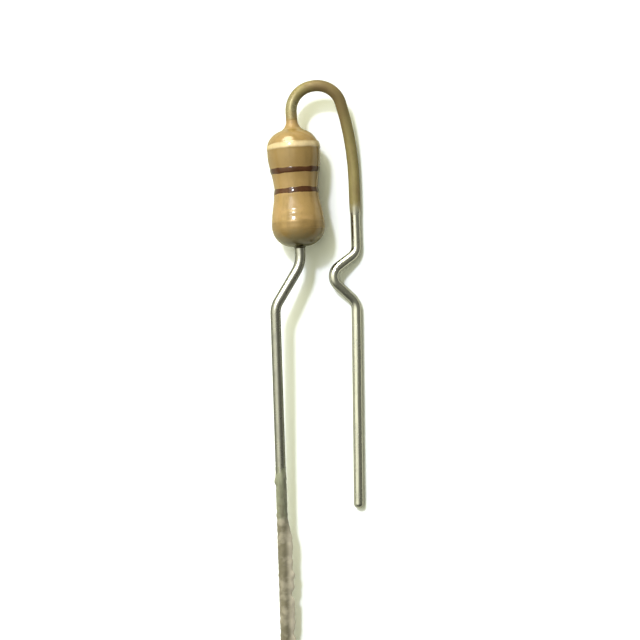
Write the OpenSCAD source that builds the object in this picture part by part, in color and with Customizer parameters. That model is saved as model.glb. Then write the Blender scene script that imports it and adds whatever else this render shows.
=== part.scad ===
// Axial carbon-film resistor with formed leads, lying on its side on a flat surface.
// Lengths are in millimetres. +Y runs from the long lead's tip to the hairpin and +Z is up.

/* [Core] */
// Diameter of the ceramic rod
rod_d = 1.68; // [1.5:0.02:1.9]
// Length of the ceramic rod
rod_len = 4.6; // [4.3:0.1:6]
// Thickness of the carbon film
film_t = 0.04; // [0.03:0.005:0.06]
// Turns of the film's helix
film_turns = 5; // [3:1:7]
// Width of the groove between the helix's turns
film_groove = 0.1; // [0.06:0.01:0.14]
// Plain film left between a cap's rim and the helix
film_land = 0.15; // [0.1:0.01:0.25]

/* [End caps] */
// Wall of the pressed end caps
cap_wall = 0.17; // [0.12:0.01:0.22]
// Thickness of a cap's end
cap_end_t = 0.2; // [0.15:0.01:0.3]
// Length of rod that a cap covers
cap_depth = 1.1; // [0.9:0.05:1.4]
// Outer corner radius of a cap
cap_corner_r = 0.45; // [0.35:0.01:0.5]

/* [Body coating] */
// Coating over the caps
coat_over_cap = 0.2; // [0.14:0.01:0.3]
// Coating over the film at the waist
coat_over_film = 0.16; // [0.12:0.01:0.24]
// Coating over the upper cap's end
coat_over_upper_end = 0.3; // [0.24:0.01:0.4]
// Coating over the lower cap's end
coat_over_lower_end = 0.22; // [0.18:0.01:0.4]
// Distance from a cap's rim to the widest point of the bulge above it
bulge_setback = 0.48; // [0.35:0.01:0.6]
// Added to the cap's corner radius for the rounding of the upper end
upper_end_swell = 0.5; // [0.35:0.01:0.55]
// Added to the cap's corner radius for the rounding of the lower end
lower_end_swell = 0.48; // [0.35:0.01:0.55]
// Hollow radius of the coating's neck up the upper lead
upper_neck_r = 0.52; // [0.2:0.02:0.7]
// Hollow radius of the small neck on the lower lead
lower_neck_r = 0.1; // [0.05:0.01:0.3]
// Thickness of the coating's lip on the lower lead
lower_lip = 0.015; // [0.01:0.005:0.05]

/* [Colour bands] */
// Thickness of the bands' paint
paint_t = 0.02; // [0.01:0.005:0.04]
// Place of the white band, from the body's middle towards its upper end
white_at = 2.03; // [1.9:0.01:2.2]
// Width of the white band
white_w = 0.26; // [0.2:0.01:0.34]
// Place of the upper brown band
upper_brown_at = 0.85; // [0.6:0.01:1]
// Place of the lower brown band
lower_brown_at = -0.1; // [-0.3:0.01:0.1]
// Width of the brown bands
brown_w = 0.25; // [0.2:0.01:0.4]
// Place of the gold band
gold_at = -1.74; // [-1.85:0.01:-1.4]
// Width of the gold band
gold_w = 0.37; // [0.2:0.01:0.45]

/* [Leads] */
// Diameter of the lead wire
lead_d = 0.48; // [0.4:0.01:0.6]
// Radius of the weld bead on a cap's end
weld_r = 0.36; // [0.33:0.01:0.45]
// Height of the weld bead
weld_h = 0.1; // [0.06:0.01:0.14]
// Rounding of the cut ends
tip_round = 0.16; // [0.08:0.01:0.2]
// Thickness of the lacquer on the upper lead
lead_coat_t = 0.03; // [0.02:0.005:0.05]
// Distance from the kink up to the end of the lead's lacquer
lead_coat_stop = 1.8; // [1:0.1:2.8]

/* [Upper lead form] */
// Lean of the body's axis from +Y towards -X, in degrees
body_lean = 3.7; // [0:0.1:6]
// Rise of the hairpin's inner corner above the body
hairpin_rise = 1.86; // [1.7:0.02:2.4]
// Rise of the hairpin's outer corner above its inner one
hairpin_crown = 0.4; // [0.3:0.02:0.6]
// Height of that corner above the body's axis, away from the surface the part lies on
hairpin_lift = 0.2; // [0:0.02:0.4]
// Splay of the hairpin's outer side, in degrees
hairpin_splay = 18.6; // [14:0.2:22]
// Straight stretch left between the bends of the hairpin
hairpin_flat = 0.06; // [0.05:0.01:0.2]
// Drop from the hairpin's outer corner to the middle of the leg's long bend
leg_bend_drop = 2.71; // [2.4:0.01:3.2]
// Gap between the body's bulges and the leg beside them
leg_gap = 1.39; // [1.2:0.01:2]
// Lean of the leg between the long bend and the kink, in degrees
leg_lean = 2; // [0:0.1:4]
// Height of the lacquered leg above the surface at its long bend
leg_lift = 0.05; // [0.02:0.01:0.2]
// Drop from the body's lower end to the kink's upper corner
kink_drop = 0.28; // [0.1:0.02:1]
// Sideways depth of the kink, corner to corner
kink_depth = 1.4; // [1.2:0.02:1.6]
// Drop along the kink's upper arm
kink_upper_drop = 1.08; // [0.9:0.02:1.3]
// Drop along the kink's lower arm
kink_lower_drop = 1.29; // [1.1:0.02:1.5]
// Bend radius at the kink's upper corner
kink_upper_r = 0.62; // [0.5:0.02:0.8]
// Bend radius at the kink's apex
kink_apex_r = 0.55; // [0.45:0.01:0.6]
// Bend radius at the kink's lower corner
kink_lower_r = 0.75; // [0.5:0.05:1]
// Length of the tail below the kink
upper_tail = 9.84; // [6:0.1:14]
// Lean of that tail, in degrees
upper_tail_lean = 0.7; // [0:0.1:2]

/* [Lower lead form] */
// Drop from the body's lower end to the jog's upper corner
jog_drop = 0.82; // [0.7:0.02:1.5]
// Sideways reach of the jog
jog_across = 1.2; // [0.9:0.02:1.6]
// Drop along the jog
jog_down = 2.06; // [1.8:0.02:2.6]
// Bend radius at the jog's upper corner
jog_upper_r = 1.5; // [0.8:0.05:1.6]
// Bend radius at the jog's lower corner
jog_lower_r = 1; // [0.8:0.05:1.6]
// Length of the tail below the jog
lower_tail = 24.9; // [16:0.1:30]
// Lean of that tail, in degrees
lower_tail_lean = 1.8; // [0:0.1:3]

/* [Hidden] */
$fn = 48;

// Steps in a half wave of the waist, in a rounded corner and in a neck
waist_steps = 14;
corner_steps = 10;
neck_steps = 8;
// Steps in one turn of the film's helix, and its clearance within the film's thickness
helix_steps = 24;
ribbon_clear = film_t / 50;
// Bends neck in by this much, and the straight wire reaches this far into them
bend_thinning = 0.004;
bend_lap = 0.04;

// Radii, from the core outwards
rod_r = rod_d / 2;
film_r = rod_r + film_t;
cap_r = film_r + cap_wall;
bulge_r = cap_r + coat_over_cap;
waist_r = film_r + coat_over_film;
lead_r = lead_d / 2;
lead_coat_r = lead_r + lead_coat_t;

// Places along the body's axis, from its middle
rod_end = rod_len / 2;
cap_rim = rod_end - cap_depth;
cap_end = rod_end + cap_end_t;
upper_body_end = cap_end + coat_over_upper_end;
lower_body_end = cap_end + coat_over_lower_end;
bulge_at = cap_rim + bulge_setback;
upper_round = cap_corner_r + upper_end_swell;
lower_round = cap_corner_r + lower_end_swell;

// The body rests on its bands, and the kink and the jog lie in a plane that slopes down to the leg
axis_z = bulge_r + paint_t;
leg_x = bulge_r + leg_gap + lead_r;
form_slope = (axis_z - lead_r) / leg_x;

function axis_point(along) =
    [-sin(body_lean) * along, cos(body_lean) * along, axis_z];

// Corners of the upper lead
hairpin_inner = axis_point(upper_body_end + hairpin_rise);
hairpin_outer_y = hairpin_inner.y + hairpin_crown;
leg_bend_y = hairpin_outer_y - leg_bend_drop;
kink_top_y = axis_point(-lower_body_end).y - kink_drop;
kink_apex_y = kink_top_y - kink_upper_drop;
kink_foot_y = kink_apex_y - kink_lower_drop;
leg_bend_x = leg_x - tan(leg_lean) * (leg_bend_y - kink_top_y);
hairpin_outer_x = leg_bend_x - tan(hairpin_splay) * leg_bend_drop;
hairpin_outer = [hairpin_outer_x, hairpin_outer_y, axis_z + hairpin_lift];
leg_bend = [leg_bend_x, leg_bend_y, lead_coat_r + leg_lift];
kink_top = [leg_x, kink_top_y, lead_coat_r];
kink_apex = [leg_x - kink_depth, kink_apex_y, lead_r + form_slope * kink_depth];
kink_foot = [leg_x, kink_foot_y, lead_r];
upper_tip = [leg_x + tan(upper_tail_lean) * upper_tail, kink_foot_y - upper_tail, lead_r];
upper_points = [axis_point(cap_end + weld_h / 2), hairpin_inner, hairpin_outer, leg_bend,
                kink_top, kink_apex, kink_foot, upper_tip];

// The hairpin's two bends share one radius, and the long bend takes up what is left of its side
hairpin_r = (norm(hairpin_outer - hairpin_inner) - hairpin_flat)
            / (half_turn_tan(upper_points, 1) + half_turn_tan(upper_points, 2));
leg_bend_r = (norm(leg_bend - hairpin_outer) - hairpin_flat - hairpin_r * half_turn_tan(upper_points, 2))
             / half_turn_tan(upper_points, 3);
upper_radii = [0, hairpin_r, hairpin_r, leg_bend_r, kink_upper_r, kink_apex_r, kink_lower_r, 0];

// Corners of the lower lead
jog_top = axis_point(-lower_body_end - jog_drop);
jog_foot = jog_top + [-jog_across, -jog_down, form_slope * jog_across];
tail_slope = (jog_foot.z - lead_r) / lower_tail;
// The tail touches the surface where its tip's rounding starts
lower_tip = [jog_foot.x + tan(lower_tail_lean) * lower_tail, jog_foot.y - lower_tail,
             lead_r - tail_slope * tip_round];
lower_points = [axis_point(-cap_end - weld_h / 2), jog_top, jog_foot, lower_tip];
lower_radii = [0, jog_upper_r, jog_lower_r, 0];

// Half section of the body's outside, from the lower neck to the upper one
coat_outside = concat(
    mirrored(domed_end(lower_body_end, lower_round, lower_neck_r, lead_r + lower_lip)),
    [for (i = [-waist_steps : waist_steps])
        let (along = bulge_at * i / waist_steps)
        [waist_wave(along), along]],
    domed_end(upper_body_end, upper_round, upper_neck_r, lead_coat_r));

// Ends of the body's coating on the leads
lower_neck_end = coat_outside[0].y;
upper_neck_end = coat_outside[len(coat_outside) - 1].y;

// The lacquer on the upper lead follows its path from the neck to the stop above the kink
coat_stop = kink_top + unit(leg_bend - kink_top) * lead_coat_stop;
coat_points = [axis_point(upper_neck_end), hairpin_inner, hairpin_outer, leg_bend, coat_stop];
coat_radii = [0, hairpin_r, hairpin_r, leg_bend_r, 0];

// The origin is under the middle of the whole part
reach_left = min(axis_point(white_at + white_w / 2).x - cos(body_lean) * axis_z,
                 jog_foot.x - lead_r);
reach_right = upper_tip.x + lead_r;
hairpin_tilt = unit(cross(way_in(upper_points, 2), way_out(upper_points, 2))).y;
hairpin_top = bend_centre(upper_points, upper_radii, 2).y + hairpin_r * sqrt(1 - pow(hairpin_tilt, 2))
              + lead_coat_r;
middle = [(reach_left + reach_right) / 2, (hairpin_top + lower_tip.y) / 2, 0];

function unit(v) = v / norm(v);

// Direction into and out of corner i of a path
function way_in(points, i) = unit(points[i] - points[i - 1]);
function way_out(points, i) = unit(points[i + 1] - points[i]);
function turn(points, i) = acos(way_in(points, i) * way_out(points, i));
function half_turn_tan(points, i) = tan(turn(points, i) / 2);

// Length of straight that a bend takes from each side of corner i
function setback(points, radii, i) =
    radii[i] == 0 ? 0 : radii[i] * half_turn_tan(points, i);

// Direction from a bend's start to its centre, and that centre
function bend_side(points, i) =
    let (u = way_in(points, i), w = way_out(points, i))
    unit(w - (w * u) * u);
function bend_centre(points, radii, i) =
    points[i] - way_in(points, i) * setback(points, radii, i) + bend_side(points, i) * radii[i];

// Radius of the body's outside between its bulges
function waist_wave(along) =
    waist_r + (bulge_r - waist_r) * (1 - cos(180 * along / bulge_at)) / 2;

// Quarter round from the side of a turned form, at radius r, to its end
function quarter_round(r, end, corner) =
    [for (i = [0 : corner_steps])
        let (angle = 90 * i / corner_steps)
        [r - corner + corner * cos(angle), end - corner + corner * sin(angle)]];

// Domed end of the body that runs into a hollow neck on a wire of radius r
function domed_end(end, dome_r, neck_r, r) =
    let (dome = [bulge_r - dome_r, end - dome_r],
         across = r + neck_r - dome.x,
         neck = dome + [across, sqrt(pow(dome_r + neck_r, 2) - pow(across, 2))],
         meet = atan2(neck.y - dome.y, across))
    concat([for (i = [0 : corner_steps])
               let (angle = meet * i / corner_steps)
               dome + dome_r * [cos(angle), sin(angle)]],
           [for (i = [1 : neck_steps])
               let (angle = meet * (1 - i / neck_steps))
               neck - neck_r * [cos(angle), sin(angle)]]);

function mirrored(points) = [for (i = [len(points) - 1 : -1 : 0]) [points[i].x, -points[i].y]];
function reversed(points) = [for (i = [len(points) - 1 : -1 : 0]) points[i]];

// Half section of a cap's outside, from its rim to its end
cap_outside = concat([[cap_r, cap_rim]], quarter_round(cap_r, cap_end, cap_corner_r));

// Half section of what the coating encloses at one end
coat_inside = concat([[film_r, cap_rim]], cap_outside,
                     [[weld_r, cap_end], [lead_r, cap_end + weld_h]]);

module on_axis() translate(axis_point(0)) rotate([-90, 0, body_lean]) children();

module centred() translate(-middle) children();

// Stands children on point a with their +Z towards b
module along(a, b) {
    d = b - a;
    translate(a) rotate([0, acos(d.z / norm(d)), atan2(d.y, d.x)]) children();
}

// Bend of a wire round corner i
module bend(points, radii, i, r) {
    u = way_in(points, i);
    m = bend_side(points, i);
    k = cross(u, m);
    c = bend_centre(points, radii, i);
    multmatrix([[-m.x, u.x, k.x, c.x], [-m.y, u.y, k.y, c.y], [-m.z, u.z, k.z, c.z]])
        rotate_extrude(angle = turn(points, i)) translate([radii[i], 0]) circle(r = r - bend_thinning);
}

// Wire of radius r along a path, with a bend of the given radius at each inner corner
module wire(points, radii, r, tip = 0) {
    last = len(points) - 1;
    for (i = [0 : last - 1]) {
        d = way_out(points, i);
        a = points[i] + d * (setback(points, radii, i) - (i > 0 ? bend_lap : 0));
        b = points[i + 1] - d * (setback(points, radii, i + 1) - (i < last - 1 ? bend_lap : 0));
        round_end = i == last - 1 ? tip : 0;
        along(a, b) rod(r, norm(b - a), round_end);
    }
    for (i = [1 : last - 1]) bend(points, radii, i, r);
}

// Straight round bar on z = 0, with its far end rounded over
module rod(r, length, round_end) {
    if (round_end > 0)
        rotate_extrude() polygon(concat([[0, 0], [r, 0]], quarter_round(r, length, round_end), [[0, length]]));
    else
        cylinder(r = r, h = length);
}

// Weld bead that spreads from the wire to a cap's end
module weld_bead() {
    slope = (weld_r - lead_r) / weld_h;
    height = weld_h + bend_lap;
    cylinder(r1 = weld_r, r2 = weld_r - slope * height, h = height);
}

// Solid of the body's outside, grown by a coat of paint
module body_form(grow) {
    rotate_extrude() polygon(concat([[0, lower_neck_end]],
                                    [for (p = coat_outside) p + [grow, 0]],
                                    [[0, upper_neck_end]]));
}

module ceramic_rod() {
    color("white") centred() on_axis()
        translate([0, 0, -rod_end]) cylinder(r = rod_r, h = rod_len);
}

// Plain sleeve of film on the rod's upper end
module film_sleeve(from) {
    rotate_extrude() polygon([[rod_r, from], [film_r, from], [film_r, rod_end], [rod_r, rod_end]]);
}

// Ribbon of film that winds up the rod from -reach to reach
module film_ribbon(width, reach) {
    steps = film_turns * helix_steps;
    // Flats of the ribbon clear the rod and stay under the sleeves' surface
    inner = rod_r / cos(180 / helix_steps) + ribbon_clear;
    outer = film_r - ribbon_clear;
    rings = [for (i = [0 : steps])
        let (angle = 360 * i / helix_steps, rise = reach * (2 * i / steps - 1))
        each [for (q = [[inner, -1], [outer, -1], [outer, 1], [inner, 1]])
            [q[0] * cos(angle), q[0] * sin(angle), rise + q[1] * width / 2]]];
    sides = [for (i = [0 : steps - 1], j = [0 : 3])
        let (a = 4 * i + j, b = 4 * i + (j + 1) % 4)
        each [[a, b, a + 4], [b, b + 4, a + 4]]];
    first = [3, 2, 1, 0];
    final = [for (j = [0 : 3]) 4 * steps + j];
    polyhedron(rings, concat(sides, [first, final]));
}

module carbon_film() {
    sleeve_from = cap_rim - film_land;
    pitch = 2 * (sleeve_from + film_land) / film_turns;
    width = pitch - film_groove;
    color("dimgray") centred() on_axis() {
        film_sleeve(sleeve_from);
        mirror([0, 0, 1]) film_sleeve(sleeve_from);
        film_ribbon(width, sleeve_from + film_land);
    }
}

module end_cap() {
    rotate_extrude() polygon(concat([[film_r, cap_rim]], cap_outside,
                                    [[0, cap_end], [0, rod_end], [film_r, rod_end]]));
}

module upper_end_cap() color("gainsboro") centred() on_axis() end_cap();

module lower_end_cap() color("gainsboro") centred() on_axis() mirror([0, 0, 1]) end_cap();

module body_coating() {
    color("burlywood") centred() on_axis()
        rotate_extrude() polygon(concat(coat_outside, [[lead_r, upper_neck_end]], reversed(coat_inside),
                                        reversed(mirrored(coat_inside)), [[lead_r, lower_neck_end]]));
}

module band(at, width) {
    centred() on_axis() difference() {
        intersection() {
            body_form(paint_t);
            translate([0, 0, at - width / 2]) cylinder(r = 2 * bulge_r, h = width);
        }
        body_form(0);
    }
}

module white_band() color("antiquewhite") band(white_at, white_w);

module upper_brown_band() color("saddlebrown") band(upper_brown_at, brown_w);

module lower_brown_band() color("saddlebrown") band(lower_brown_at, brown_w);

module gold_band() color("darkgoldenrod") band(gold_at, gold_w);

module upper_lead() {
    color("silver") centred() {
        wire(upper_points, upper_radii, lead_r, tip_round);
        on_axis() translate([0, 0, cap_end]) weld_bead();
    }
}

module lower_lead() {
    color("silver") centred() {
        wire(lower_points, lower_radii, lead_r, tip_round);
        on_axis() mirror([0, 0, 1]) translate([0, 0, cap_end]) weld_bead();
    }
}

module lead_coating() {
    color("olive") centred() difference() {
        wire(coat_points, coat_radii, lead_coat_r);
        wire(upper_points, upper_radii, lead_r, tip_round);
    }
}

ceramic_rod();
carbon_film();
upper_end_cap();
lower_end_cap();
body_coating();
white_band();
upper_brown_band();
lower_brown_band();
gold_band();
upper_lead();
lower_lead();
lead_coating();
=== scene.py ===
from math import atan, atan2, cos, exp, hypot, pi, radians, sin, sqrt, tan

import bmesh
import bpy
from bpy.props import FloatProperty, FloatVectorProperty, PointerProperty
from mathutils import Matrix, Vector, noise


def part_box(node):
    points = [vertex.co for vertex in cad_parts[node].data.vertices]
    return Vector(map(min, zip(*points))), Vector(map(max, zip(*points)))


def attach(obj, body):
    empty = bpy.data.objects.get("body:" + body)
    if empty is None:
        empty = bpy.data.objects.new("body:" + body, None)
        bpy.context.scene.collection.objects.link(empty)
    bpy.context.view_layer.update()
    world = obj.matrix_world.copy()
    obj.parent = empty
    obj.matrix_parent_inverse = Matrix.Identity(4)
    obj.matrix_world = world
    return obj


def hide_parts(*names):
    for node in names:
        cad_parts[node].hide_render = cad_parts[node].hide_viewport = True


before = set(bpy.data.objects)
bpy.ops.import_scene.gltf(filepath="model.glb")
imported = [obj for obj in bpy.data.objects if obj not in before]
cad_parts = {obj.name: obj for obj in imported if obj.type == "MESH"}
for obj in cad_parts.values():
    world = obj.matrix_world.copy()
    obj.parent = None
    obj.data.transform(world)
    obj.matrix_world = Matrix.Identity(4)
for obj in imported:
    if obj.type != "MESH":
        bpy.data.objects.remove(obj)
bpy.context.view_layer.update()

bl_info = {
    "name": "Resistor with formed leads",
    "version": (1, 0, 0),
    "blender": (4, 5, 0),
    "location": "3D View > Sidebar > Resistor",
    "description": "Builds the lacquered body, colour bands and formed leads of an axial resistor",
    "category": "Add Mesh",
}

MM = 0.001

# Fineness of the round forms
WIRE_SIDES = 40
BEND_STEP = radians(5)
BODY_SIDES = 160
ARC_STEPS = 14
WAIST_STEPS = 40
BEAD_STEPS = 10
TIP_STEPS = 6
SHARP_EDGE = radians(45)
WELD = 1e-5 * MM

# Waves round the body: height, swings in one turn, share of a shift, and start
LACQUER_WAVES = ((1.0, 2, 0.9, 0.6), (0.7, 3, -1.7, 2.1), (0.5, 7, 3.1, 0.4), (0.4, 5, -6.3, 1.3))
BAND_DRIFT = ((0.5, 2, 1.0, 0.0), (0.3, 5, 2.0, 0.0))
BAND_SWELL = ((0.4, 3, 1.3, 0.0), (0.4, 8, 1.0, 0.0), (0.3, 13, 0.0, 0.0))

# Side of the body that the sags and the dent face, and their spread round it
SAG_FACING = -0.55 * pi
SAG_SPREAD = 0.5

# Beads of paint: form, half width as a share of the band, full paint's share of that, and phase
BEAD_POWER = 4
WHITE_BEAD = 0.75
WHITE_CORE = 0.3
GOLD_BEAD = 0.56
GOLD_CORE = 0.6
GOLD_HEIGHT = 0.4
BAND_PHASES = {"white": 0.0, "upper_brown": 1.7, "lower_brown": 3.9, "gold": 5.2}

# Taper of the lead's lacquer: the share that is lost, and how it falls
TAPER_LOSS = 0.95
TAPER_POWER = 1.5

# Form of the residue: scales and squash of its noise, its cover, and the sharpness of its lump and fin
RESIDUE_STEPS = 120
COARSE_LUMPS = (4.5, 1.0)
FINE_LUMPS = (11, 0.7)
FINE_HEIGHT = 0.6
COVER_LEAST = 1.2
COVER_LUMPS = 0.8
COVER_LIFT = 0.4
LUMP_SPREAD = 6
LUMP_POWER = 4
FIN_SCALE = 2.2
FIN_MEAN = 0.75
FIN_RAGGED = 0.6
FIN_POWER = 6
FIN_TONE_POWER = 4
TORN_LUMPS = (7, 0.3)
TORN_REACH = 0.5 * MM
END_TAPER = 0.9 * MM

# Mirror shine of the lacquers and paints, and of duller coats
PAINT_SHINE = 0.4
DULL_SHINE = 0.6 * PAINT_SHINE

# Light that passes a lacquer's or paint's clear surface, and that surface itself
LACQUER_FILM = (0.9, 0.89, 0.8)
LEAD_FILM = (0.84, 0.83, 0.73)
FILM_IOR = 1.02
FILM_ROUGHNESS = 0.3

# Height of the finishes' unevenness
SKIN_WAVE = 0.006 * MM
CAP_WAVE = 0.004 * MM
LEAD_WAVE = 0.008 * MM
RESIDUE_WAVE = 0.02 * MM

# Plain noise
UNSTRETCHED = (1.0, 1.0, 1.0)
DETAIL = 3.0
NOISE_ROUGHNESS = 0.55
NOISE_MEAN = 0.5

# Heights: stretch, scale and detail of their noise
SWELL = ((1.0, 0.6, 1.0), 2.2, 2.0)
GRAIN = (UNSTRETCHED, 14.0, 2.0)
DRAW_LINES = ((14.0, 14.0, 0.35), 1.6, DETAIL)

# Patterns: stretch, scale and detail of their noise, and the range of it that shows
STREAKS = ((2.6, 0.45, 2.6), 1.3, DETAIL, 0.45, 0.75)
CLOUDS = (UNSTRETCHED, 1.6, DETAIL, 0.45, 0.7)
SPECKS = (UNSTRETCHED, 7.0, DETAIL, 0.55, 0.75)
DULL_SPOTS = (UNSTRETCHED, 4.0, DETAIL, 0.4, 0.75)
PATCHES = ((1.5, 1.5, 0.8), 1.5, 5.0, 0.42, 0.68)
PITS = (UNSTRETCHED, 9.0, 2.0, 0.62, 0.75)
DRAW_RANGE = (0.5, 0.75)

# Shares of the patterns in colour, height and roughness
SPECK_PART = 0.4
DRAW_STAIN = 0.5
GRAIN_HEIGHT = 0.05
PIT_DEPTH = 0.6
STAIN_ROUGHNESS = 0.3
SKIN_DULLING = 0.08

# Fades: start and end in millimetres, and the levels before and after
# Painted shade over the end caps, eased on the upper dome, which faces the light
UPPER_CAP_SHADE = (-1.3, 0.2, 0.0, 0.65)
UPPER_DOME_SHADE = (0.6, 1.1, 1.0, 0.2)
LOWER_CAP_SHADE = (-0.9, -0.2, 1.0, 0.0)
# Painted shade towards the lower end, and painted shadow round the lower lead
END_SHADE = (0.15, 0.8, 0.8, 0.0)
LEAD_SHADOW = (0.35, 1.1, 1.0, 0.0)
NECK_DULLING = (-0.1, 0.2, 0.0, 0.3)
NECK_TAN = (-0.1, 0.5, 1.0, 0.0)
WORN_START = (-0.1, 0.3, 0.0, 1.0)
WORN_END = (0.7, 1.5, 0.4, 0.0)
BROWN_START = (1.7, 2.4, 0.0, 1.0)
BROWN_END = (3.8, 5.4, 0.55, 0.0)
LEAD_STAIN = (0.9, 1.7, 0.0, 0.36)
FILM_METAL = (1.5, 5.0, 0.1, 0.04)
TIN_SHOWS = (-0.7, 0.1, 0.0, 1.0)
RESIDUE_TURN = (-0.6, 0.6, 0.0, 1.0)
RESIDUE_BARE = (0.2, 1.4, 1.0, 0.0)

# Ragged edges: scale, and size in millimetres
# Ragged edge of the painted shade on the lower end
END_SHADE_RAGGED = (2.2, 0.9)
BAND_RAGGED = (2.5, 0.1)
LEAD_RAGGED = (3.0, 0.8)
RESIDUE_RAGGED = (2.5, 3.0)
BARE_RAGGED = 0.3

# Streaks and clouds of the lacquers, paints and residue
BODY_MOTTLE = (0.6, 0.5)
BAND_MOTTLE = (0.4, 0.5)
LEAD_MOTTLE = (0.6, 0.4)
RESIDUE_MOTTLE = (0.6, 0.28)

# Gloss of each finish, and the change of gloss where the metal shows
BODY_GLOSS = 0.16
WHITE_GLOSS = 0.16
GOLD_GLOSS = 0.3
LEAD_GLOSS = 0.22
LEAD_DULLING = 0.12
LEAD_BARE_GLOSS = 0.38
RESIDUE_GLOSS = 0.5
RESIDUE_DULLING = 0.2
RESIDUE_BARE_GLOSS = 0.25

# Coats of one colour: darker and paler tone, streaks, clouds and gloss
BROWN_COAT = (0.55, 1.6, 0.5, 0.5, 0.1)
CERAMIC_COAT = (0.85, 1.1, 0.2, 0.5, 0.6)
CARBON_COAT = (0.6, 2.0, 0.3, 0.5, 0.45)
STEEL_COAT = (0.7, 1.15, 0.4, 0.4, 0.3)

# Wires: stains and gloss
BRIGHT_WIRE = (0.35, 0.2)
HANDLED_WIRE = (0.5, 0.27)
LACQUERED_WIRE = (0.4, 0.2)

# Tones and mixtures of the finishes' colours, and shares of metal
BAND_DARK = 0.6
BAND_PALE = 1.3
UNDER_BAND = 0.5
GOLD_METAL = 0.2
HANDLED_FILM = 0.68
LEAD_PALE = 1.25
LEAD_TIN = 0.75
WORN_TIN = 0.4
NECK_DARK = 0.4
RESIDUE_DARK = 0.6
RESIDUE_BARE_TONE = 1.05
RESIDUE_METAL = 0.6

# Light: tints, the ways that it comes from, and the cones and fades that bound it
FLOOR_GLOW = (0.085, 0.092, 0.065)
LAMP_TINT = (0.79, 0.83, 1.0)
MATT_TINT = (1.0, 1.02, 0.72)
MIRRORED_TINT = (1.0, 1.01, 0.9)
WIDE_WAY = (-0.64, 0.20, 0.745)
WIDE_CONE = (0.56, 0.86)
WINDOW_WAY = (-0.35, 0.82, 0.45)
WINDOW_CONE = (0.93, 0.965)
ROOM_SIDES = (-0.8, 0.8, 1.5, 0.7)
ROOM_MIRRORED = 1.6
NEAR_FADE = (-0.75, 0.05, 0.3, 1.0)
LOW_FADE = (0.0, 0.25, 0.15, 1.0)
VIEW_NEAR = 0.001
VIEW_FAR = 20.0


def length(name, millimetres, description):
    return FloatProperty(name=name, description=description, default=millimetres * MM,
                         precision=6, unit="LENGTH")


def turn(name, degrees, description):
    return FloatProperty(name=name, description=description, default=radians(degrees), subtype="ANGLE")


def colour(name, rgb, description):
    return FloatVectorProperty(name=name, description=description, default=rgb, size=3,
                               min=0.0, max=1.0, subtype="COLOR")


def share(name, value, description):
    return FloatProperty(name=name, description=description, default=value)


class ResistorBodySizes(bpy.types.PropertyGroup):
    """Sizes of the lacquered body and its bands, measured along its axis from the middle"""

    lean: turn("Lean", 3.7, "Lean of the body's axis from +Y towards -X")
    bulge_radius: length("Bulge radius", 1.25, "Radius over the end caps")
    waist_radius: length("Waist radius", 1.04, "Radius at the middle")
    bulge_place: length("Bulge place", 1.68, "Where the waist's wave reaches the bulge")
    cap_rim: length("Cap rim", 1.2, "Where the end caps start under the lacquer")
    upper_end: length("Upper end", 2.8, "Reach of the body towards the hairpin")
    lower_end: length("Lower end", 2.72, "Reach of the body towards the jog")
    upper_dome: length("Upper dome radius", 0.95, "Rounding of the upper end")
    lower_dome: length("Lower dome radius", 0.93, "Rounding of the lower end")
    upper_neck: length("Upper neck radius", 0.52, "Hollow radius of the meniscus up the upper lead")
    lower_neck: length("Lower neck radius", 0.1, "Hollow radius of the meniscus on the lower lead")
    lower_lip: length("Lower lip", 0.015, "Thickness of the lacquer where it ends on the lower lead")
    shoulder_skew: length("Shoulder skew", 0.03, "How much squarer one shoulder is than the other")
    lacquer_wave: length("Lacquer wave", 0.007, "Unevenness of the dipped lacquer")
    sag: length("Sag", 0.012, "Height of the sags in the lacquer below the waist")
    sag_place: length("Sag place", -1.26, "Middle of the sags")
    sag_reach: length("Sag reach", 0.34, "Reach of the sags along the body")
    sag_pitch: length("Sag pitch", 0.4, "Distance from one sag to the next")
    dent: length("Dent", 0.03, "Depth of the shallow dent beside those sags")
    dent_place: length("Dent place", -1.0, "Middle of that dent")
    dent_reach: length("Dent reach", 0.36, "Reach of that dent along the body")
    step: length("Step", 0.03, "Height of the step in the lacquer under the lower brown band")
    step_place: length("Step place", -0.13, "Middle of that step")
    step_reach: length("Step reach", 0.2, "Distance over which that step fades out")
    paint: length("Paint", 0.02, "Height of the bands' beads")
    band_wander: length("Band wander", 0.02, "Unevenness of the bands' edges")
    white_place: length("White band place", 2.03, "Middle of the white band")
    white_width: length("White band width", 0.26, "Width of the white band")
    upper_brown_place: length("Upper brown band place", 0.85, "Middle of the upper brown band")
    lower_brown_place: length("Lower brown band place", -0.1, "Middle of the lower brown band")
    brown_width: length("Brown band width", 0.25, "Width of the brown bands")
    gold_place: length("Gold band place", -1.74, "Middle of the gold band")
    gold_width: length("Gold band width", 0.37, "Width of the gold band")


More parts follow.
